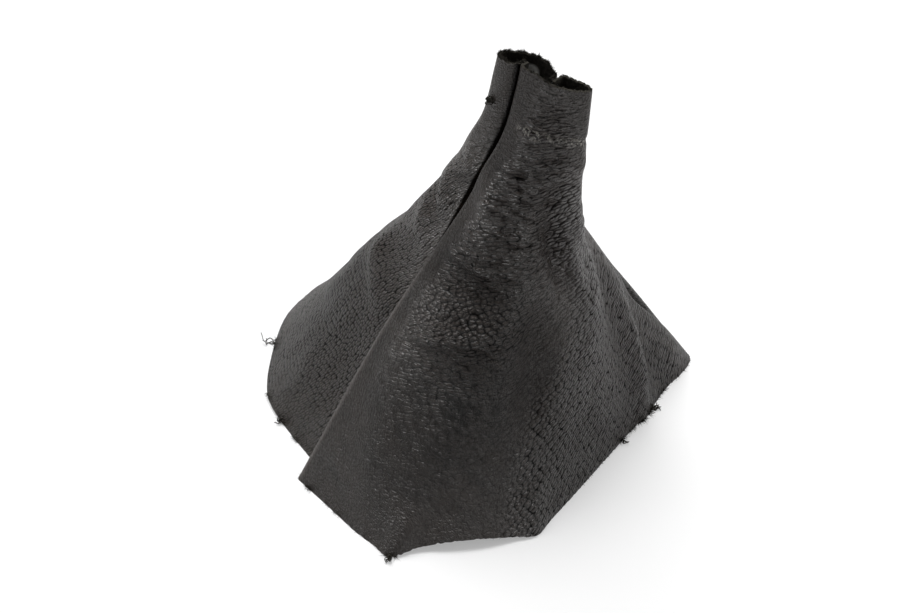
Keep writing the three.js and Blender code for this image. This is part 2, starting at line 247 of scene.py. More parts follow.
def section_centre(down):
    """Middle of each level section, wandering from above the hem to above the neck."""
    x = HEM_CENTRE[0] + (NECK_CENTRE[0] - HEM_CENTRE[0]) * (1 - down**LEAN_X)
    y = HEM_CENTRE[1] + (NECK_CENTRE[1] - HEM_CENTRE[1]) * (1 - down**LEAN_Y)
    return x, y


def wall_point(angle, down, panel):
    """A point of the grain side, from its bearing and its share of the way down."""
    radius = panel_radius(angle, down, panel)
    x, y = section_centre(down)
    height = panel_height(angle, down, panel)
    return np.stack([x + radius * np.cos(angle), y + radius * np.sin(angle), height], -1)


def seam_line(seam, down):
    """Where the panels meet: bearing of the seam, way of the allowances, origin on the inner wall, and length
    of the allowances."""
    angle = np.radians(seam["rim"] + (seam["hem"] - seam["rim"]) * ease(down * SEAM_SWING))
    inner = np.minimum(panel_radius(angle, down, FRONT), panel_radius(angle, down, REAR))
    share = ease(down / ASIDE_UNTIL)
    bearing = angle + np.radians(seam["aside"]) * (1 - share)
    x, y = section_centre(down)
    neck_allowance = min(SEAM_ALLOWANCE, NECK_HALF_DEPTH)
    allowance = neck_allowance + (SEAM_ALLOWANCE - neck_allowance) * share
    return angle, bearing, x + inner * np.cos(angle), y + inner * np.sin(angle), allowance


def beside_seam(line, out, aside, height):
    """A point given by how far it is out from the seam and aside of it."""
    _, bearing, x, y, _ = line
    return np.stack([
        x + out * np.cos(bearing) - aside * np.sin(bearing),
        y + out * np.sin(bearing) + aside * np.cos(bearing),
        height + 0 * out,
    ], -1)


def wall_beside_seam(line, angle, down, panel):
    """The same two distances for a point of a panel's wall."""
    point = wall_point(angle, down, panel)
    x, y = point[..., 0] - line[2], point[..., 1] - line[3]
    cosine, sine = np.cos(line[1]), np.sin(line[1])
    return x * cosine + y * sine, y * cosine - x * sine


def seam_edge(seam, side, down, panel):
    """Allowance and turn of a panel at a seam, for all rows at once: a straight run along the neighbour's
    allowance, then an arc of even radius that touches it and the outer wall. The wall's first bearing is
    found by stepping until the arc's two legs are of one length."""
    steps, probe = 8, 0.01
    line = seam_line(seam, down)
    gap = side * GRAIN_GAP / 2
    roll = panel["rolls"] * seam["roll"] * (1 - ease(down / ROLL_UNTIL))
    radius = LEATHER + TURN_INSIDE + roll
    angle = line[0].copy()
    for _ in range(steps):
        out, aside = wall_beside_seam(line, angle, down, panel)
        next_out, next_aside = wall_beside_seam(line, angle + side * probe, down, panel)
        step = np.hypot(next_out - out, next_aside - aside)
        way_out, way_aside = (next_out - out) / step, (next_aside - aside) / step
        half = np.arccos(-way_out) / 2
        missing = side * (gap - aside) + radius / np.tan(half) * np.sin(2 * half)
        angle = angle + side * missing * probe / (step * np.abs(way_aside))
    out, aside = wall_beside_seam(line, angle, down, panel)
    leg = (aside - gap) / way_aside
    corner = out - leg * way_out
    start = corner - leg
    weight = np.sqrt((1 + way_out) / 2)
    height = panel_height(line[0], down, panel)[:, None]
    wide = tuple(part[:, None] for part in line)
    share = np.arange(ALLOWANCE_COLUMNS)[None] / ALLOWANCE_COLUMNS
    straight = -wide[4] + (start[:, None] + wide[4]) * share
    flat = beside_seam(wide, straight, gap + 0 * straight, height)
    s = np.arange(TURN_COLUMNS)[None] / TURN_COLUMNS
    first, middle, last = (1 - s) ** 2, 2 * s * (1 - s) * weight[:, None], s**2
    total = first + middle + last
    arc_out = (first * start[:, None] + middle * corner[:, None] + last * out[:, None]) / total
    arc_aside = gap + last * (aside[:, None] - gap) / total
    return np.concatenate([flat, beside_seam(wide, arc_out, arc_aside, height)], 1), angle


def panel_grid(first, last, panel):
    """Grain side of a panel as a grid of rows from rim to hem, with the bearing of each of its points."""
    down = np.linspace(0, 1, PANEL_ROWS + 1)
    opening, start = seam_edge(first, 1, down, panel)
    closing, end = seam_edge(last, -1, down, panel)
    sweep = np.mod(end - start, 2 * np.pi)
    angle = start[:, None] + sweep[:, None] * np.linspace(0, 1, WALL_COLUMNS + 1)
    wall = wall_point(angle, down[:, None], panel)
    bearing = np.pad(angle, ((0, 0), (EDGE_COLUMNS, EDGE_COLUMNS)), mode="edge")
    return np.concatenate([opening, wall, closing[:, ::-1]], 1) - FOOTPRINT_MIDDLE, bearing


def grid_normals(grid):
    """Outward normals of a grid, from the differences down its columns and along its rows."""
    normal = np.cross(np.gradient(grid, axis=0), np.gradient(grid, axis=1))
    return normal / np.linalg.norm(normal, axis=-1, keepdims=True)


def pattern_lengths(grid):
    """Where each point lay on the cut piece: its arc length from the middle column and down from the rim."""
    along = np.linalg.norm(np.diff(grid, axis=1), axis=-1)
    along = np.concatenate([np.zeros((len(grid), 1)), np.cumsum(along, 1)], 1)
    along -= along[:, along.shape[1] // 2, None]
    down = np.linalg.norm(np.diff(grid, axis=0), axis=-1)
    down = np.concatenate([np.zeros((1, grid.shape[1])), np.cumsum(down, 0)], 0)
    return along, down


def waves(x, y, across, along, turn, count, seed):
    """Soft random relief of about -1 to 1: the sum of plane waves with random phases, about across by along
    millimetres long, turned by an angle in degrees."""
    rng = np.random.default_rng(seed)
    spin = np.radians(turn)
    a, b = x * np.cos(spin) + y * np.sin(spin), y * np.cos(spin) - x * np.sin(spin)
    total, spread = 0, 1.6
    for _ in range(count):
        way, pace = rng.uniform(0, 2 * np.pi), rng.uniform(0.6, 1.5)
        phase = rng.uniform(0, 2 * np.pi)
        run = a * np.cos(way) / across + b * np.sin(way) / along
        total = total + np.cos(2 * np.pi * pace * run + phase)
    return total * np.sqrt(2 / count) / spread


def patch(bearing, depth, at, size):
    """A soft spot: a bell curve round a bearing and depth, with a half-width in degrees and millimetres."""
    turn = np.degrees(turn_between(np.radians(at[0]), bearing)) / size[0]
    return np.exp(-(turn**2) - ((depth - at[1]) / size[1]) ** 2)


def patches(bearing, depth, spots):
    """The sum of soft spots, each times its strength."""
    return sum(strength * patch(bearing, depth, at, size) for strength, at, size in spots)


def new_piece(name, points, faces, finishes):
    """A smooth piece at the origin, from points in millimetres, their faces and its finishes."""
    mesh = bpy.data.meshes.new(name)
    mesh.from_pydata(points / 1000, [], faces)
    for finish in finishes:
        mesh.materials.append(finish)
    mesh.polygons.foreach_set("use_smooth", np.ones(len(faces), dtype=bool))
    piece = bpy.data.objects.new(name, mesh)
    bpy.context.scene.collection.objects.link(piece)
    return piece


def closed_sheet(name, grain, flesh, rough, along, down, marks, finishes):
    """The grain grid, the flesh grid at half its fineness, and a ragged line halfway through the leather that
    joins them round the cut edges. rough is how far that line strays at each border point, as vectors. Gives
    the piece and that line."""
    rows, columns = grain.shape[0] - 1, grain.shape[1] - 1

    def border(row_end, column_end, width):
        top = np.arange(0, column_end)
        right = np.arange(0, row_end) * width + column_end
        bottom = row_end * width + np.arange(column_end, 0, -1)
        left = np.arange(row_end, 0, -1) * width
        return np.concatenate([top, right, bottom, left])

    outer = border(rows, columns, columns + 1)
    inner = border(rows // 2, columns // 2, columns // 2 + 1)
    grain_points, flesh_points = grain.reshape(-1, 3), flesh.reshape(-1, 3)
    inner_fine = np.empty((len(outer), 3))
    inner_fine[0::2] = flesh_points[inner]
    inner_fine[1::2] = (flesh_points[inner] + np.roll(flesh_points[inner], -1, 0)) / 2
    middle = (grain_points[outer] + inner_fine) / 2 + rough
    points = np.concatenate([grain_points, flesh_points, middle])

    def quads(row_end, column_end, base):
        r, c = np.meshgrid(np.arange(row_end), np.arange(column_end), indexing="ij")
        a = base + (r * (column_end + 1) + c).ravel()
        return np.stack([a, a + column_end + 1, a + column_end + 2, a + 1], -1)

    grain_faces = quads(rows, columns, 0)
    flesh_faces = quads(rows // 2, columns // 2, len(grain_points))[:, ::-1]
    line = len(grain_points) + len(flesh_points) + np.arange(len(outer))
    outer_strip = np.stack([outer, np.roll(outer, -1), np.roll(line, -1), line], -1)
    inner = inner + len(grain_points)
    inner_strip = np.stack([line[0::2], line[1::2], np.roll(line, -2)[0::2], np.roll(inner, -1), inner], -1)
    faces = grain_faces.tolist() + flesh_faces.tolist() + outer_strip.tolist() + inner_strip.tolist()

    piece = new_piece(name, points, faces, finishes)
    mesh = piece.data
    raw = np.ones(len(faces), dtype=np.int32)
    raw[: len(grain_faces)] = 0
    mesh.polygons.foreach_set("material_index", raw)
    mesh.set_sharp_from_angle(angle=SHARP_FROM)

    def everywhere(values):
        return np.concatenate([values.ravel(), values[::2, ::2].ravel(), values.ravel()[outer]])

    for mark, values in marks.items():
        mark = mesh.attributes.new(mark, "FLOAT", "POINT")
        mark.data.foreach_set("value", everywhere(values).astype(np.float32))
    place = np.stack([everywhere(along), everywhere(-down)], -1) / 1000
    corner = np.empty(len(mesh.loops), dtype=np.int32)
    mesh.loops.foreach_get("vertex_index", corner)
    pattern = mesh.uv_layers.new(name="pattern")
    pattern.data.foreach_set("uv", place[corner].astype(np.float32).ravel())
    return piece, middle


def leather_panel(name, first, last, panel, marks_of, relief_of, seed, finishes):
    """One whole panel: its grid, the flesh side offset by the thickness, level along the rim and the hem, the
    relief of the grain side, and the ragged cut edges. Gives the piece, and for what hangs on its edge the
    grain grid with its normals and bearings, and the middle line of the cut."""
    grain, bearing = panel_grid(first, last, panel)
    normal = grid_normals(grain)
    level = normal[[0, -1]] * (1, 1, 0)
    inward = normal * LEATHER
    inward[[0, -1]] = level / np.linalg.norm(level, axis=-1, keepdims=True) ** 2 * LEATHER
    flesh = (grain - inward)[::2, ::2]
    along, down = pattern_lengths(grain)
    to_hem = down[-1] - down
    depth = np.linspace(0, 1, PANEL_ROWS + 1)[:, None] * HEIGHT + 0 * along
    from_turn = np.minimum(along - along[:, EDGE_COLUMNS, None], along[:, -EDGE_COLUMNS - 1, None] - along)
    marks = marks_of(bearing, depth, from_turn)
    free = ease((from_turn - 1) / RELIEF_FADE["turn"])
    free = free * ease(to_hem / RELIEF_FADE["hem"]) * ease(down / RELIEF_FADE["rim"])
    grain = grain + normal * (relief_of(along, down, depth, marks) * free)[..., None]

    def edge_waves(row, height, length, wave_seed):
        return height * waves(along[row], 0 * along[row], length, length, 0, 14, wave_seed)

    rim_waves = sum(edge_waves(0, *wave, seed + i) for i, wave in enumerate(RIM_WAVES))
    hem_waves = np.maximum(edge_waves(-1, *HEM_WAVE, seed + len(RIM_WAVES)), 0)
    ragged = rim_waves * ease(1 - down / WAVE_FADE["rim"]) + hem_waves * ease(1 - to_hem / WAVE_FADE["hem"])
    grain[..., 2] += ragged
    flesh[..., 2] += ragged[::2, ::2]

    rng = np.random.default_rng(seed + 3)
    rim_end = grain.shape[1] - 1
    rough = np.zeros((2 * (rim_end + PANEL_ROWS), 3))
    rough[1:rim_end, 2] = rng.uniform(*RIM_CUT, rim_end - 1)
    piece, line = closed_sheet(name, grain, flesh, rough, along, down, marks, finishes)
    return piece, {"grain": grain, "normal": normal, "bearing": bearing, "line": line}


def linear(hex_colour):
    """An sRGB hex colour as linear values with full opacity."""
    values = [int(hex_colour[i : i + 2], 16) / 255 for i in (1, 3, 5)]
    return [v / 12.92 if v <= 0.04045 else ((v + 0.055) / 1.055) ** 2.4 for v in values] + [1.0]


def add_node(tree, kind, inputs=None, **settings):
    """A node with its settings, its values and its links. A value that is a socket is linked, and one that is
    a node is linked by its first output."""
    node = tree.nodes.new(kind)
    for setting, value in settings.items():
        setattr(node, setting, value)
    for socket, value in (inputs or {}).items():
        if isinstance(value, bpy.types.Node):
            value = value.outputs[0]
        if isinstance(value, bpy.types.NodeSocket):
            tree.links.new(value, node.inputs[socket])
        else:
            node.inputs[socket].default_value = value
    return node


def new_material(name):
    """An empty material, and a call that adds a node to it."""
    material = bpy.data.materials.new(name)
    material.use_nodes = True
    material.node_tree.nodes.clear()
    return material, partial(add_node, material.node_tree)


# Black pebble-grained leather, pigment finished: satin, with pebbles between
# fine creases, long where it is pulled, plump at the bends, folded flat
# and narrow where it is pressed together, and beaded where the tie rubbed it.
# Light and shade are painted into its colour: painted highlights on the
# pebbles' tops and painted shade in the creases, a pale painted highlight on
# the tie's beads, and patches of painted light and shade, which also change
# the gloss.
# Each grain: turn in degrees, then width and length of a pebble in mm
LONG_GRAIN = (54, 1.5, 3.4)
PLUMP_GRAIN = (58, 1.5, 3.5)
FOLDED_GRAIN = (72, 1.4, 4.8)
TIE_GRAIN = (20, 1.2, 1.6)
PORE = 0.8
FOLDED_SPOT = 5.0
TIE_SPOT = 2.0
TONE_SPOT = 14.0
GRAIN_DEPTH = 0.0016


def grained_leather(name, base, pale_and_painted_light_hex, pebble_turn):
    material, node = new_material(name)
    place = node("ShaderNodeUVMap", uv_map="pattern")
    drawn, wrinkled, plump, smooth, worn, tie = (
        node("ShaderNodeAttribute", attribute_name=mark).outputs["Fac"]
        for mark in ("drawn", "wrinkled", "plump", "smooth", "worn", "tie"))

    def laid(turn, across, along):
        """The cut piece, turned and measured in cells of so many millimetres."""
        turned = node("ShaderNodeMapping", {0: place, "Rotation": (0, 0, np.radians(turn))})
        return node("ShaderNodeMapping", {0: turned, "Scale": (1000 / across, 1000 / along, 1)})

    def pebbles(turn, across, along):
        """Height and creases of a grain: on cells pushed about by noise, 0.75 less 1.65 times the square of
        the way from the cell's middle, plus 0.35 inside the crease, which is soft."""
        cells = laid(turn, across, along)
        push = node("ShaderNodeTexNoise", {"Vector": cells, "Scale": 0.5, "Detail": 2.0},
                    noise_dimensions="2D").outputs["Color"]
        push = node("ShaderNodeVectorMath", {0: push, 1: (0.5, 0.5, 0.5)}, operation="SUBTRACT")
        push = node("ShaderNodeVectorMath", {0: push, "Scale": 0.45}, operation="SCALE")
        cells = node("ShaderNodeVectorMath", {0: cells, 1: push}, operation="ADD")
        middle, rim = (
            node("ShaderNodeTexVoronoi", {"Vector": cells, "Scale": 1.0, "Randomness": 0.7},
                 voronoi_dimensions="2D", feature=feature)
            for feature in ("F1", "DISTANCE_TO_EDGE"))
        dome = node("ShaderNodeMath", {0: middle, 1: middle}, operation="MULTIPLY")
        dome = node("ShaderNodeMath", {0: dome, 1: -1.65, 2: 0.75}, operation="MULTIPLY_ADD")
        inside = node("ShaderNodeMapRange", {"Value": rim, "From Min": 0.0, "From Max": 0.24},
                      interpolation_type="SMOOTHSTEP")
        height = node("ShaderNodeMath", {0: inside, 1: 0.35, 2: dome}, operation="MULTIPLY_ADD")
        return height, node("ShaderNodeMath", {0: 1.0, 1: inside}, operation="SUBTRACT")

    def spots(size, low, high):
        """Soft-edged spots where noise of so many millimetres rises from low to high."""
        noise = node("ShaderNodeTexNoise", {"Vector": laid(0, size, size), "Scale": 1.0, "Detail": 2.0},
                     noise_dimensions="2D")
        return node("ShaderNodeMapRange", {"Value": noise, "From Min": low, "From Max": high},
                    interpolation_type="SMOOTHSTEP")

    round_height, round_crease = pebbles(pebble_turn, 1.3, 2.7)
    long_height, long_crease = pebbles(*LONG_GRAIN)
    plump_height, plump_crease = pebbles(*PLUMP_GRAIN)
    folded_height, folded_crease = pebbles(*FOLDED_GRAIN)

    # Share of each grain: round and long ones where it is calm, plump ones, and folds
    busy = node("ShaderNodeMath", {0: plump, 1: smooth}, operation="MAXIMUM")
    calm = node("ShaderNodeMath", {0: 1.0, 1: busy}, operation="SUBTRACT")
    flat = node("ShaderNodeMath", {0: 1.0, 1: plump}, operation="SUBTRACT")
    undrawn = node("ShaderNodeMath", {0: 1.0, 1: drawn}, operation="SUBTRACT")
    fold_spots = spots(FOLDED_SPOT, 0.4, 0.56)
    few = node("ShaderNodeMath", {0: fold_spots, 1: 0.05}, operation="MULTIPLY")
    many = node("ShaderNodeMath", {0: fold_spots, 1: 0.5}, operation="ADD")
    folded = node("ShaderNodeMath", {0: wrinkled, 1: many, 2: few}, operation="MULTIPLY_ADD")
    folded = node("ShaderNodeMath", {0: folded, 1: flat}, operation="MULTIPLY")

    # Height of the grain, with the tie's beads and the pores
    full = node("ShaderNodeMath", {0: undrawn, 1: 0.5}, operation="ADD")
    height = node("ShaderNodeMath", {0: round_height, 1: full}, operation="MULTIPLY")
    long_height = node("ShaderNodeMath", {0: long_height, 1: drawn}, operation="MULTIPLY")
    height = node("ShaderNodeMath", {0: long_height, 1: 2.1, 2: height}, operation="MULTIPLY_ADD")
    height = node("ShaderNodeMath", {0: height, 1: calm}, operation="MULTIPLY")
    plump_height = node("ShaderNodeMath", {0: plump_height, 1: plump}, operation="MULTIPLY")
    height = node("ShaderNodeMath", {0: plump_height, 1: 1.7, 2: height}, operation="MULTIPLY_ADD")
    height = node("ShaderNodeMath", {0: folded_height, 1: folded, 2: height}, operation="MULTIPLY_ADD")
    beads = node("ShaderNodeMath", {0: tie, 1: pebbles(*TIE_GRAIN)[0]}, operation="MULTIPLY")
    beads = node("ShaderNodeMath", {0: beads, 1: spots(TIE_SPOT, 0.46, 0.54)}, operation="MULTIPLY")
    height = node("ShaderNodeMath", {0: beads, 1: 0.8, 2: height}, operation="MULTIPLY_ADD")
    pores = node("ShaderNodeTexVoronoi", {"Vector": laid(0, PORE, PORE), "Scale": 1.0},
                 voronoi_dimensions="2D")
    height = node("ShaderNodeMath", {0: pores, 1: 0.22, 2: height}, operation="MULTIPLY_ADD")

    # Painted shade in the creases: a factor that darkens the colour there and also lowers the gloss
    crease = node("ShaderNodeMath", {0: round_crease, 1: undrawn}, operation="MULTIPLY")
    crease = node("ShaderNodeMath", {0: long_crease, 1: drawn, 2: crease}, operation="MULTIPLY_ADD")
    crease = node("ShaderNodeMath", {0: crease, 1: calm}, operation="MULTIPLY")
    crease = node("ShaderNodeMath", {0: plump_crease, 1: plump, 2: crease}, operation="MULTIPLY_ADD")
    folded_crease = node("ShaderNodeMath", {0: folded_crease, 1: folded}, operation="MULTIPLY")
    crease = node("ShaderNodeMath", {0: folded_crease, 1: 0.25, 2: crease}, operation="MULTIPLY_ADD")
    crease = node("ShaderNodeMath", {0: crease, 1: 1.0}, operation="MINIMUM")
    crease_shade = node("ShaderNodeMath", {0: crease, 1: -0.42, 2: 1.0}, operation="MULTIPLY_ADD")

    # Painted light and shade: the colour is lighter on the pebbles' tops and darker
    # low down, besides tone that differs at random; gloss follows the height too,
    # and both are evened out where there is no grain
    grained = node("ShaderNodeMath", {0: plump, 1: calm}, operation="MAXIMUM")
    even = node("ShaderNodeMath", {0: grained, 1: -0.6, 2: 0.6}, operation="MULTIPLY_ADD")
    level = node("ShaderNodeMath", {0: height, 1: even}, operation="ADD")
    patchy = node("ShaderNodeTexNoise",
                  {"Vector": laid(0, TONE_SPOT, TONE_SPOT), "Scale": 1.0, "Detail": 3.0},
                  noise_dimensions="2D")
    patchy = node("ShaderNodeMath", {0: patchy, 1: 0.6}, operation="MULTIPLY")
    tone_and_painted_shading = node("ShaderNodeMath", {0: level, 1: 0.9, 2: patchy}, operation="MULTIPLY_ADD")
    tone_and_painted_shading = node("ShaderNodeMapRange", {"Value": tone_and_painted_shading, "From Min": 0.4, "From Max": 1.65})
    # Painted light and shade: lighter and darker patches, a highlight along the front's seam fold and shade
    # in the rear's groove
    tone_and_painted_shading = node("ShaderNodeMath", {0: worn, 1: 0.8, 2: tone_and_painted_shading}, operation="MULTIPLY_ADD")
    tone_and_painted_shading = node("ShaderNodeMath", {0: tone_and_painted_shading, 1: crease_shade}, operation="MULTIPLY")
    tone_and_painted_shading = node("ShaderNodeMath", {0: tone_and_painted_shading, 1: 0.0}, operation="MAXIMUM")
    colour = node("ShaderNodeMix", {0: tone_and_painted_shading, 6: linear(base), 7: linear(pale_and_painted_light_hex)}, data_type="RGBA")
    # A painted highlight: the tie's beads are mixed towards a pale colour
    bead_highlight = node("ShaderNodeMath", {0: beads, 1: 1.0}, operation="MINIMUM")
    colour = node("ShaderNodeMix", {0: bead_highlight, 6: colour.outputs[2], 7: linear("#c4beb6")}, data_type="RGBA")
    rough = node("ShaderNodeMapRange",
                 {"Value": level, "From Min": 0.0, "From Max": 1.2, "To Min": 0.6, "To Max": 0.42})
    gloss = node("ShaderNodeMapRange",
                 {"Value": level, "From Min": 0.2, "From Max": 1.1, "To Min": 0.12, "To Max": 1.05})
    polish = node("ShaderNodeMath", {0: worn, 1: crease_shade, 2: crease_shade}, operation="MULTIPLY_ADD")
    gloss = node("ShaderNodeMath", {0: gloss, 1: polish}, operation="MULTIPLY")
    bump = node("ShaderNodeBump", {"Height": height, "Distance": GRAIN_DEPTH, "Strength": 1.0})
    skin = node("ShaderNodeBsdfPrincipled",
                {"Base Color": colour.outputs[2], "Roughness": rough, "Normal": bump, "IOR": 1.5,
                 "Specular IOR Level": gloss})
    node("ShaderNodeOutputMaterial", {"Surface": skin})
    return material


# Flesh side and cut edge of the leather: dyed through, matt and fibrous, its
# nap drawn about 1 mm coarse so that it shows, with one painted white glint
# just inside the rim at the back.
NAP_SCALE = 900.0
NAP_DEPTH = 0.0005
GLINT_SPOT = (0.0414, 0.0069, 0.1886)
GLINT_RADII = (0.0024, 0.0036)


def raw_leather():
    material, node = new_material("raw_leather")
    place = node("ShaderNodeTexCoord").outputs["Object"]
    nap = node("ShaderNodeTexNoise", {"Vector": place, "Scale": NAP_SCALE, "Detail": 3.0})
    colour = node("ShaderNodeMix", {0: nap, 6: linear("#1f1e1a"), 7: linear("#403d37")}, data_type="RGBA")
    # A painted glint: a small near-white spot just inside the rim at the back
    away = node("ShaderNodeVectorMath", {0: place, 1: GLINT_SPOT}, operation="DISTANCE").outputs["Value"]
    glint = node("ShaderNodeMapRange",
                {"Value": away, "From Min": GLINT_RADII[0], "From Max": GLINT_RADII[1],
                 "To Min": 1.0, "To Max": 0.0})
    colour = node("ShaderNodeMix", {0: glint, 6: colour.outputs[2], 7: linear("#f8f8f4")}, data_type="RGBA")
    bump = node("ShaderNodeBump", {"Height": nap, "Distance": NAP_DEPTH, "Strength": 1.0})
    skin = node("ShaderNodeBsdfPrincipled",
                {"Base Color": colour.outputs[2], "Roughness": 0.95, "Normal": bump,
                 "Specular IOR Level": 0.2})
    node("ShaderNodeOutputMaterial", {"Surface": skin})
    return material


# Where the grain changes, and patches of painted light and shade: (strength, (bearing, depth), half-widths)
FRONT_WRINKLED = [(1.1, (-90, 110), (28, 22)), (0.08, (-75, 160), (40, 30))]
FRONT_PLUMP = [(0.65, (-87, 103), (40, 16)), (0.9, (-22, 62), (26, 22)), (0.35, (-70, 18), (36, 14))]
FRONT_PAINTED_SHADING = [
    (1.1, (-6, 68), (26, 34)), (-0.3, (2, 172), (44, 30)), (-0.3, (-112, 86), (24, 14)),
    (-0.55, (-74, 122), (38, 50)), (0.15, (8, 130), (24, 50)),
]
FRONT_TIE = 24.5
TIE_WIDTH = 1.6
REAR_WRINKLED = [(0.6, (196, 66), (20, 30))]
REAR_PAINTED_SHADING = [
    (0.2, (190, 100), (16, 30)), (0.9, (208, 84), (9, 24)),
    (-0.25, (190, 165), (26, 40)), (-0.45, (178, 128), (18, 42)),
]
REAR_TIE = 14.0
REAR_TIE_WIDTH = 0.9


def bell(depth, middle, width):
    """A bell curve of the depth round its middle."""
    return np.exp(-(((depth - middle) / width) ** 2))


def front_marks(bearing, depth, from_turn):
    """Where the front panel's grain is drawn long, wrinkled, plump or smooth, and where a tie once sat; with
    painted light and shade: lighter and darker patches, and a painted highlight along the fold of the seam.
    The drawn part is all that lies right of a boundary, which swings to the left on its way down."""
    degrees = np.degrees(turn_between(0, bearing))
    boundary = -14 - 34 * ease((depth - 95) / 70)
    pulled = ease((degrees - boundary) / 16 + 0.5) * ease((depth - 55) / 30)
    neck = np.exp(-(((depth - 48) / 42) ** 4)) * ease((-6 - degrees) / 26)
    wrinkled = 1.45 * neck + patches(bearing, depth, FRONT_WRINKLED)
    plump = patches(bearing, depth, FRONT_PLUMP)
    # A painted highlight along the fold of the front at the left seam, low down
    fold_edge_highlight = bell(from_turn, -0.8, 1.1) * ease((depth - 85) / 25) * (degrees < -60)
    tie = bell(depth, FRONT_TIE, TIE_WIDTH) * ease((from_turn - 2) / 6) * ease((18 - degrees) / 20)
    return {
        "drawn": ease((degrees - boundary + 40) / 20) * ease((depth - 45) / 20),
        "wrinkled": np.clip(wrinkled, 0, 1.4) * ease((from_turn - 4) / 7),
        "plump": np.clip(plump, 0, 1) * ease((from_turn - 4) / 8),
        "smooth": np.maximum(0.92 * (1 - pulled), 0.8 * ease(1 - (from_turn - 4) / 16)),
        "tie": 1.5 * tie,
        "worn": np.clip(fold_edge_highlight + patches(bearing, depth, FRONT_PAINTED_SHADING), -1, 1),
    }


def rear_marks(bearing, depth, from_turn):
    """The rear panel keeps its even pebbles, wrinkled only in the bend beside the seam, smooth at the neck
    and low on the left, with painted shade, dark and dull, in the groove under the front panel's fold, and
    painted lighter and darker patches."""
    degrees = np.degrees(bearing) % 360
    # Painted shade: the rear panel is darkened and dulled in the groove under the front panel's fold
    reach = -4.2 + 6.7 * ease((depth - 5) / 60) - 1.3 * ease((depth - 112) / 30)
    softness = 1.2 + 2.5 * ease((depth - 106) / 30)
    groove_shade = ease((reach - from_turn) / softness) * ease((degrees - 130) / 20)
    worn = patches(bearing, depth, REAR_PAINTED_SHADING) * (1 - groove_shade) - groove_shade
    turn_smooth = 0.6 * ease(1 - (from_turn - 2) / 8)
    low_smooth = 0.75 * ease((depth - 150) / 40) * ease((degrees - 186) / 14)
    neck_smooth = 0.95 * ease((70 - depth) / 30)
    return {
        "drawn": 0 * depth,
        "wrinkled": patches(bearing, depth, REAR_WRINKLED),
        "plump": 0 * depth,
        "smooth": np.maximum(np.maximum(turn_smooth, low_smooth), neck_smooth),
        "tie": 0.5 * bell(depth, REAR_TIE, REAR_TIE_WIDTH) * ease((from_turn - 2) / 5),
        "worn": np.clip(worn, -1, 1),
    }


def front_relief(along, down, depth, marks):
    """Small forms in millimetres: cross-wrinkles where it is pressed, long soft pleats on the right, the
    tie's groove, and a slight unevenness all over."""
    cross = 0.42 * waves(along, down, 13, 4.6, 0, 26, 11) * np.minimum(marks["wrinkled"], 1.0)
    pleats = 0.2 * waves(along, down, 6, 22, 50, 22, 12) * marks["drawn"]
    groove = -0.5 * bell(depth, FRONT_TIE, TIE_WIDTH)
    return cross + pleats + groove + 0.12 * waves(along, down, 22, 26, 0, 20, 13)


def rear_relief(along, down, depth, marks):
    """Small forms in millimetres: short wrinkles in the bend, and a slight unevenness all over."""
    cross = 0.4 * waves(along, down, 4.2, 12, 10, 24, 21) * marks["wrinkled"]
    return cross + 0.3 * waves(along, down, 17, 28, 0, 20, 22)


flesh_finish = raw_leather()
front_finish = grained_leather("grained_leather_front", "#0d0a08", "#362c26", 12)
front_panel, front_edge = leather_panel(
    "front_panel_leather", FRONT_LEFT_SEAM, REAR_RIGHT_SEAM, FRONT, front_marks, front_relief, 31,
    [front_finish, flesh_finish])
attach(front_panel, "root")
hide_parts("front_panel")

rear_finish = grained_leather("grained_leather_rear", "#0f0c09", "#3b312a", -13)
rear_panel, rear_edge = leather_panel(
    "rear_panel_leather", REAR_RIGHT_SEAM, FRONT_LEFT_SEAM, REAR, rear_marks, rear_relief, 41,
    [rear_finish, flesh_finish])
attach(rear_panel, "root")
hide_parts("rear_panel")


# Seam threads: the needle and the bobbin thread of a lockstitch, bonded
# nylon 0.6 mm thick. Each lies on the flesh side of its own allowance and
# dips to the leather at every stitch, 3.5 mm apart.
THREAD_DIAMETER = 0.6
THREAD_CLEARANCE = 0.3
THREAD_DEPTH = 0.75
THREAD_POINTS = 1200
STITCH = 3.5
STITCH_SQUARENESS = 0.4
DIP_CLEARANCE = 0.06
DIP_THINNING = 0.28
PLY_SCALE = 420.0
PLY_DEPTH = 0.0001


def tube(path, radius, across, sides):
    """Rings round a path, each square to its way, with both ends closed by one face. across is a vector that
    is never in line with the path."""
    way = np.gradient(path, axis=0)
    way /= np.linalg.norm(way, axis=1, keepdims=True)
    first = np.cross(way, across)
    first /= np.linalg.norm(first, axis=1, keepdims=True)
    second = np.cross(way, first)
    turn = 2 * np.pi * np.arange(sides) / sides
    ring = first[:, None] * np.cos(turn)[None, :, None] + second[:, None] * np.sin(turn)[None, :, None]
    points = path[:, None] + ring * np.reshape(radius, (-1, 1, 1))
    r, c = np.meshgrid(np.arange(len(path) - 1), np.arange(sides), indexing="ij")
    a, b = r * sides + c, r * sides + (c + 1) % sides
    faces = np.stack([a, b, b + sides, a + sides], -1).reshape(-1, 4).tolist()
    faces += [list(range(sides))[::-1], list(range((len(path) - 1) * sides, len(path) * sides))]
    return points.reshape(-1, 3), faces


def thread_piece(name, tubes, finish):
    """One object from several closed tubes."""
    points, faces, base = [], [], 0
    for tube_points, tube_faces in tubes:
        points.append(tube_points)
        faces += [[i + base for i in face] for face in tube_faces]
        base += len(tube_points)
    return new_piece(name, np.concatenate(points), faces, [finish])


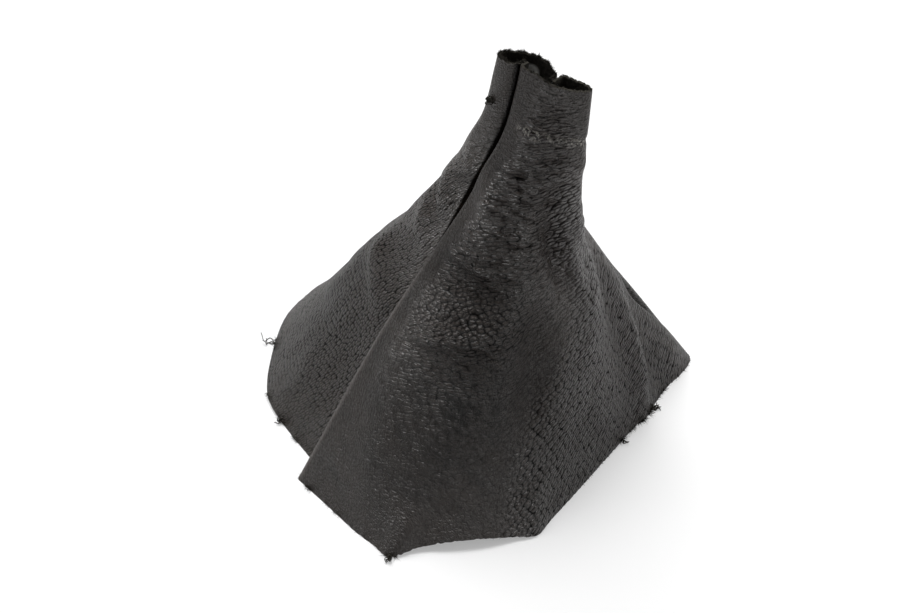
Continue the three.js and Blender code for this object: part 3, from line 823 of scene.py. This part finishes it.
# Bonded nylon thread, black: smooth, with a faint gloss and fine lines where
# its plies turn, 1.5 mm apart.
def bonded_thread():
    material, node = new_material("bonded_thread")
    place = node("ShaderNodeTexCoord").outputs["Object"]
    ply = node("ShaderNodeTexWave", {"Vector": place, "Scale": PLY_SCALE, "Distortion": 1.5},
               bands_direction="DIAGONAL").outputs["Fac"]
    bump = node("ShaderNodeBump", {"Height": ply, "Distance": PLY_DEPTH, "Strength": 1.0})
    skin = node("ShaderNodeBsdfPrincipled",
                {"Base Color": linear("#161616"), "Roughness": 0.5, "Normal": bump})
    node("ShaderNodeOutputMaterial", {"Surface": skin})
    return material


def seam_thread(node, seam, side, finish):
    """One thread along an allowance. It dips to the leather at every stitch, by the sine of its run to a low
    power, and is pressed thinner there. Every third point is kept."""
    down = np.linspace(0.01, 0.99, THREAD_POINTS)
    line = seam_line(seam, down)
    middle = GRAIN_GAP / 2 + LEATHER + THREAD_CLEARANCE + THREAD_DIAMETER / 2
    out = -THREAD_DEPTH * line[4]
    height = panel_height(line[0], down, FRONT)
    straight = beside_seam(line, out, side * middle, height)
    run = np.concatenate([[0], np.cumsum(np.linalg.norm(np.diff(straight, axis=0), axis=1))])
    dip = np.abs(np.sin(np.pi * run / STITCH)) ** STITCH_SQUARENESS
    aside = middle - (THREAD_CLEARANCE - DIP_CLEARANCE) * (1 - dip)
    path = (beside_seam(line, out, side * aside, height) - FOOTPRINT_MIDDLE)[::3]
    radius = (THREAD_DIAMETER / 2 * (1 - DIP_THINNING * (1 - dip)))[::3]
    bearing = line[1][::3]
    across = np.stack([-np.sin(bearing), np.cos(bearing), 0 * bearing], -1)
    piece = thread_piece(node + "_stitches", [tube(path, radius, across, 6)], finish)
    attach(piece, "root")
    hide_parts(node)


thread_finish = bonded_thread()
seam_thread("front_left_needle_thread", FRONT_LEFT_SEAM, 1, thread_finish)
seam_thread("front_left_bobbin_thread", FRONT_LEFT_SEAM, -1, thread_finish)
seam_thread("rear_right_needle_thread", REAR_RIGHT_SEAM, -1, thread_finish)
seam_thread("rear_right_bobbin_thread", REAR_RIGHT_SEAM, 1, thread_finish)


# Loose fibres of the cut edges: the rim and the hem are raw, so bundles of
# leather fibre stand out of them. They are drawn 0.24 mm thick, coarser than
# real ones, so that they show.
FIBRE_DIAMETER = 0.24
FIBRE_TIP = 0.25
FIBRE_BEND = 0.45
FIBRE_SPREAD = 0.4
FIBRE_ROOT_SPREAD = 0.25
FIBRE_FLOOR = 0.02


def fibre_piece(name, roots, ways, lengths, seed, finish):
    """Many short hairs at once. Each is a root plus its way times its length, bent aside with the square of
    the share of its length, and three-sided rings that thin towards the tip."""
    rng = np.random.default_rng(seed)
    count = len(roots)
    share = np.array([0, 0.35, 0.7, 1.0])
    bend = rng.normal(0, FIBRE_BEND, (count, 3))
    way = ways + rng.normal(0, FIBRE_SPREAD, (count, 3))
    way /= np.linalg.norm(way, axis=1, keepdims=True)
    reach = lengths[:, None, None] * share[None, :, None]
    path = roots[:, None] + way[:, None] * reach + bend[:, None] * reach * share[None, :, None]
    first = np.cross(way, rng.normal(0, 1, (count, 3)))
    first /= np.linalg.norm(first, axis=1, keepdims=True)
    second = np.cross(way, first)
    turn = 2 * np.pi * np.arange(3) / 3
    ring = first[:, None] * np.cos(turn)[None, :, None] + second[:, None] * np.sin(turn)[None, :, None]
    radius = FIBRE_DIAMETER / 2 * (1 - (1 - FIBRE_TIP) * share)
    points = path[:, :, None] + ring[:, None] * radius[None, :, None, None]
    points[..., 2] = np.maximum(points[..., 2], FIBRE_FLOOR)
    r, c = np.meshgrid(np.arange(3), np.arange(3), indexing="ij")
    a, b = r * 3 + c, r * 3 + (c + 1) % 3
    base = 12 * np.arange(count)[:, None, None]
    sides = (np.stack([a, b, b + 3, a + 3], -1).reshape(1, -1, 4) + base).reshape(-1, 4).tolist()
    ends = (np.array([[[2, 1, 0], [9, 10, 11]]]) + base).reshape(-1, 3).tolist()
    piece = new_piece(name, points.reshape(-1, 3), sides + ends, [finish])
    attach(piece, "root")


def edge_fibres(name, edge, at_rim, count, longest, clumps, seed):
    """Fibres along the rim or the hem of a panel, more and longer ones in some stretches than in others, and
    clumps of them at the given bearings, each with its half width in degrees, its count and its longest."""
    rng = np.random.default_rng(seed)
    rows, columns = np.subtract(edge["bearing"].shape, 1)
    place = np.arange(1, columns) + (0 if at_rim else columns + rows)
    inner = (0, slice(1, -1)) if at_rim else (-1, slice(-2, 0, -1))
    away, facing = edge["normal"][inner], edge["bearing"][inner]
    stretch = np.arange(len(place))
    wild = ease(0.5 + 0.7 * waves(stretch, 0 * stretch, 34, 90, 0, 12, seed))
    pick = rng.choice(len(place), count, p=(0.25 + wild) / (0.25 + wild).sum())
    lengths = rng.exponential(0.28, count).clip(0.12, 1) * longest * (0.5 + wild[pick])
    for middle, half, more, reach in clumps:
        aside = np.abs(turn_between(np.radians(middle), facing))
        near = np.flatnonzero(aside < max(np.radians(half), 1.3 * aside.min()))
        pick = np.concatenate([pick, rng.choice(near, more)])
        lengths = np.concatenate([lengths, reach * rng.uniform(0.15, 1, more) ** 1.5])
    roots = edge["line"][place[pick]] + rng.normal(0, FIBRE_ROOT_SPREAD, (len(pick), 3)) * (1, 1, 0.3)
    ways = np.array([0, 0, 1.0 if at_rim else -0.05]) + away[pick] * (0.15 if at_rim else 0.9)
    fibre_piece(name, roots, ways, lengths, seed + 1, flesh_finish)


# Clumps: (bearing, half width, count, longest)
FRONT_HEM_CLUMPS = [
    (-115, 1.5, 160, 2.2), (-106, 1.5, 60, 1.6), (-101, 1.5, 80, 1.8), (-81, 1.5, 180, 2.2),
    (6, 1.5, 120, 2.2), (12, 2, 160, 2.0), (17, 2, 200, 2.6), (22, 2, 260, 2.8), (30, 2, 150, 1.8),
    (38, 3, 120, 1.6),
]
REAR_HEM_CLUMPS = [
    (176, 2, 120, 2.0), (200, 2, 120, 1.8), (212, 2, 160, 2.2), (222, 2, 160, 2.0), (50, 8, 200, 1.8),
]
RIM_CLUMPS = [(190, 25, 500, 1.0), (80, 25, 400, 1.2), (48, 6, 150, 0.9)]
edge_fibres("front_rim_fibres", front_edge, True, 500, 0.6, [], 51)
edge_fibres("rear_rim_fibres", rear_edge, True, 2400, 0.8, RIM_CLUMPS, 53)
edge_fibres("front_hem_fibres", front_edge, False, 1600, 0.8, FRONT_HEM_CLUMPS, 55)
edge_fibres("rear_hem_fibres", rear_edge, False, 1600, 0.8, REAR_HEM_CLUMPS, 57)


# Loose ends: longer bundles of fibre that hang from the cut edges in curls.
# They are drawn 0.56 mm thick, coarser than real ones, so that they show.
WISP_DIAMETER = 0.56
WISP_TIP = 0.6
WISP_FLOOR = 0.32
WISP_POINTS = 40
WISP_ACROSS = (0.31, 0.57, 0.76)


def wisp(root, way, length, curl, turns, rng):
    """A loose end as a thin tube: it starts at its root along its way and wanders aside in growing waves."""
    share = np.linspace(0, 1, WISP_POINTS)[:, None]
    way = np.asarray(way, float) / np.linalg.norm(way)
    side = np.cross(way, rng.normal(0, 1, 3))
    side /= np.linalg.norm(side)
    other = np.cross(way, side)
    phase = rng.uniform(0, 2 * np.pi, 2)
    bend = side * np.sin(turns * 2 * np.pi * share + phase[0]) + other * np.sin(turns * 5 * share + phase[1])
    path = root + way * length * share + curl * (bend - bend[0]) * share**0.5
    path[:, 2] = np.maximum(path[:, 2], WISP_FLOOR)
    return tube(path, WISP_DIAMETER / 2 * (1 - (1 - WISP_TIP) * share[:, 0]), WISP_ACROSS, 5)


def loose_ends(name, places, finish):
    """Wisps at given places of an edge: edge, row, bearing, way, length, curl, turns and how many of them."""
    rng = np.random.default_rng(61)
    tubes = []
    for edge, row, facing, way, length, curl, turns, count in places:
        column = np.abs(turn_between(np.radians(facing), edge["bearing"][row])).argmin()
        for _ in range(count):
            root = edge["grain"][row, column] + rng.normal(0, 0.3, 3)
            out = edge["normal"][row, column] * way[0] + np.array([0, 0, way[1]]) + rng.normal(0, 0.25, 3)
            tubes.append(wisp(root, out, length * rng.uniform(0.6, 1.1), curl, turns, rng))
    piece = thread_piece(name, tubes, finish)
    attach(piece, "root")


loose_ends("loose_ends", [
    (rear_edge, -1, 176, (1.0, -0.3), 7.5, 1.3, 1.6, 3),
    (rear_edge, -1, 212, (1.0, 0.1), 3.0, 0.7, 1.4, 5),
    (front_edge, -1, -81, (1.0, 0.1), 3.5, 0.8, 1.8, 8),
    (front_edge, -1, 6, (1.0, 0.2), 3.5, 0.6, 1.2, 4),
    (front_edge, -1, 24, (1.0, 0.3), 4.0, 0.8, 1.4, 8),
    (rear_edge, 24, 190, (1.0, 0.6), 2.4, 1.1, 2.2, 12),
], flesh_finish)


# Floor: a plain white tabletop, painted matt, which keeps the gaiter's soft
# shadow. It glows a little to the eye alone, so that it shows as white.
TABLE_HALF = 4000.0
TABLE_GLOW = 0.36


def white_table():
    material, node = new_material("white_table")
    paint = node("ShaderNodeBsdfDiffuse", {"Color": linear("#cfcfcf")})
    ray = node("ShaderNodeLightPath").outputs
    seen = node("ShaderNodeMath", {0: ray["Is Camera Ray"], 1: ray["Is Glossy Ray"]}, operation="MAXIMUM")
    seen = node("ShaderNodeMath", {0: seen, 1: ray["Is Transmission Ray"]}, operation="MAXIMUM")
    lift = node("ShaderNodeMath", {0: seen, 1: TABLE_GLOW}, operation="MULTIPLY")
    glow = node("ShaderNodeEmission", {"Strength": lift})
    both = node("ShaderNodeAddShader", {0: paint, 1: glow})
    node("ShaderNodeOutputMaterial", {"Surface": both})
    return material


corners = TABLE_HALF * np.array([(-1, -1, 0), (1, -1, 0), (1, 1, 0), (-1, 1, 0)])
floor = new_piece("floor", corners, [(0, 1, 2, 3)], [white_table()])


# Studio light: one large soft lamp overhead, soft fills from both sides, and
# a pale room that shows as white.
ROOM_LIGHT = 0.12


def stand(holder, right, back, place):
    """Puts a lamp or the camera at its place. Its matrix has the columns right, up and back."""
    axes = np.stack([right, np.cross(back, right), back], 1)
    holder.matrix_world = Matrix([[*row, p] for row, p in zip(axes, place)] + [[0, 0, 0, 1]])
    bpy.context.scene.collection.objects.link(holder)


def soft_lamp(name, place, aim, power):
    """A square lamp of 1 m, turned from its place to its aim."""
    lamp = bpy.data.lights.new(name, "AREA")
    lamp.shape = "RECTANGLE"
    lamp.size = lamp.size_y = 1.0
    lamp.energy = power
    back = np.subtract(place, aim)
    back /= np.linalg.norm(back)
    right = np.cross((0, 1, 0.01), back)
    right /= np.linalg.norm(right)
    stand(bpy.data.objects.new(name, lamp), right, back, place)


soft_lamp("overhead", (-0.28, 0.3, 1.35), (0, 0, 0.05), 23.5)
soft_lamp("left_fill", (-1.3, -0.1, 0.7), (0, 0, 0.08), 1)
soft_lamp("right_fill", (1.3, 0.5, 0.7), (0, 0, 0.08), 5)

world = bpy.data.worlds.new("studio")
world.use_nodes = True
world.node_tree.nodes.clear()
sky = partial(add_node, world.node_tree)
ray = sky("ShaderNodeLightPath").outputs
shown = sky("ShaderNodeMath", {0: ray["Is Camera Ray"], 1: ray["Is Transmission Ray"]}, operation="MAXIMUM")
level = sky("ShaderNodeMapRange", {"Value": shown, "To Min": ROOM_LIGHT, "To Max": 1.0})
room = sky("ShaderNodeBackground", {"Color": (1, 1, 1, 1), "Strength": level})
sky("ShaderNodeOutputWorld", {"Surface": room})
bpy.context.scene.world = world


# Camera: 24 degrees to the right of the front and 38 degrees up, as in the
# photograph.
AZIMUTH = np.radians(24.0)
ELEVATION = np.radians(38.0)
CAMERA_AIM = (0.01539, -0.00489, 0.07)
CAMERA_DISTANCE = 0.935
camera = bpy.data.cameras.new("camera")
camera.lens = 85.0
camera.clip_end = 20.0
level_way = np.array([np.sin(AZIMUTH), -np.cos(AZIMUTH), 0.0])
back = level_way * np.cos(ELEVATION) + np.array([0, 0, np.sin(ELEVATION)])
right = np.array([np.cos(AZIMUTH), np.sin(AZIMUTH), 0.0])
eye = bpy.data.objects.new("camera", camera)
stand(eye, right, back, CAMERA_AIM + back * CAMERA_DISTANCE)
bpy.context.scene.camera = eye
bpy.context.scene.view_settings.view_transform = "Standard"
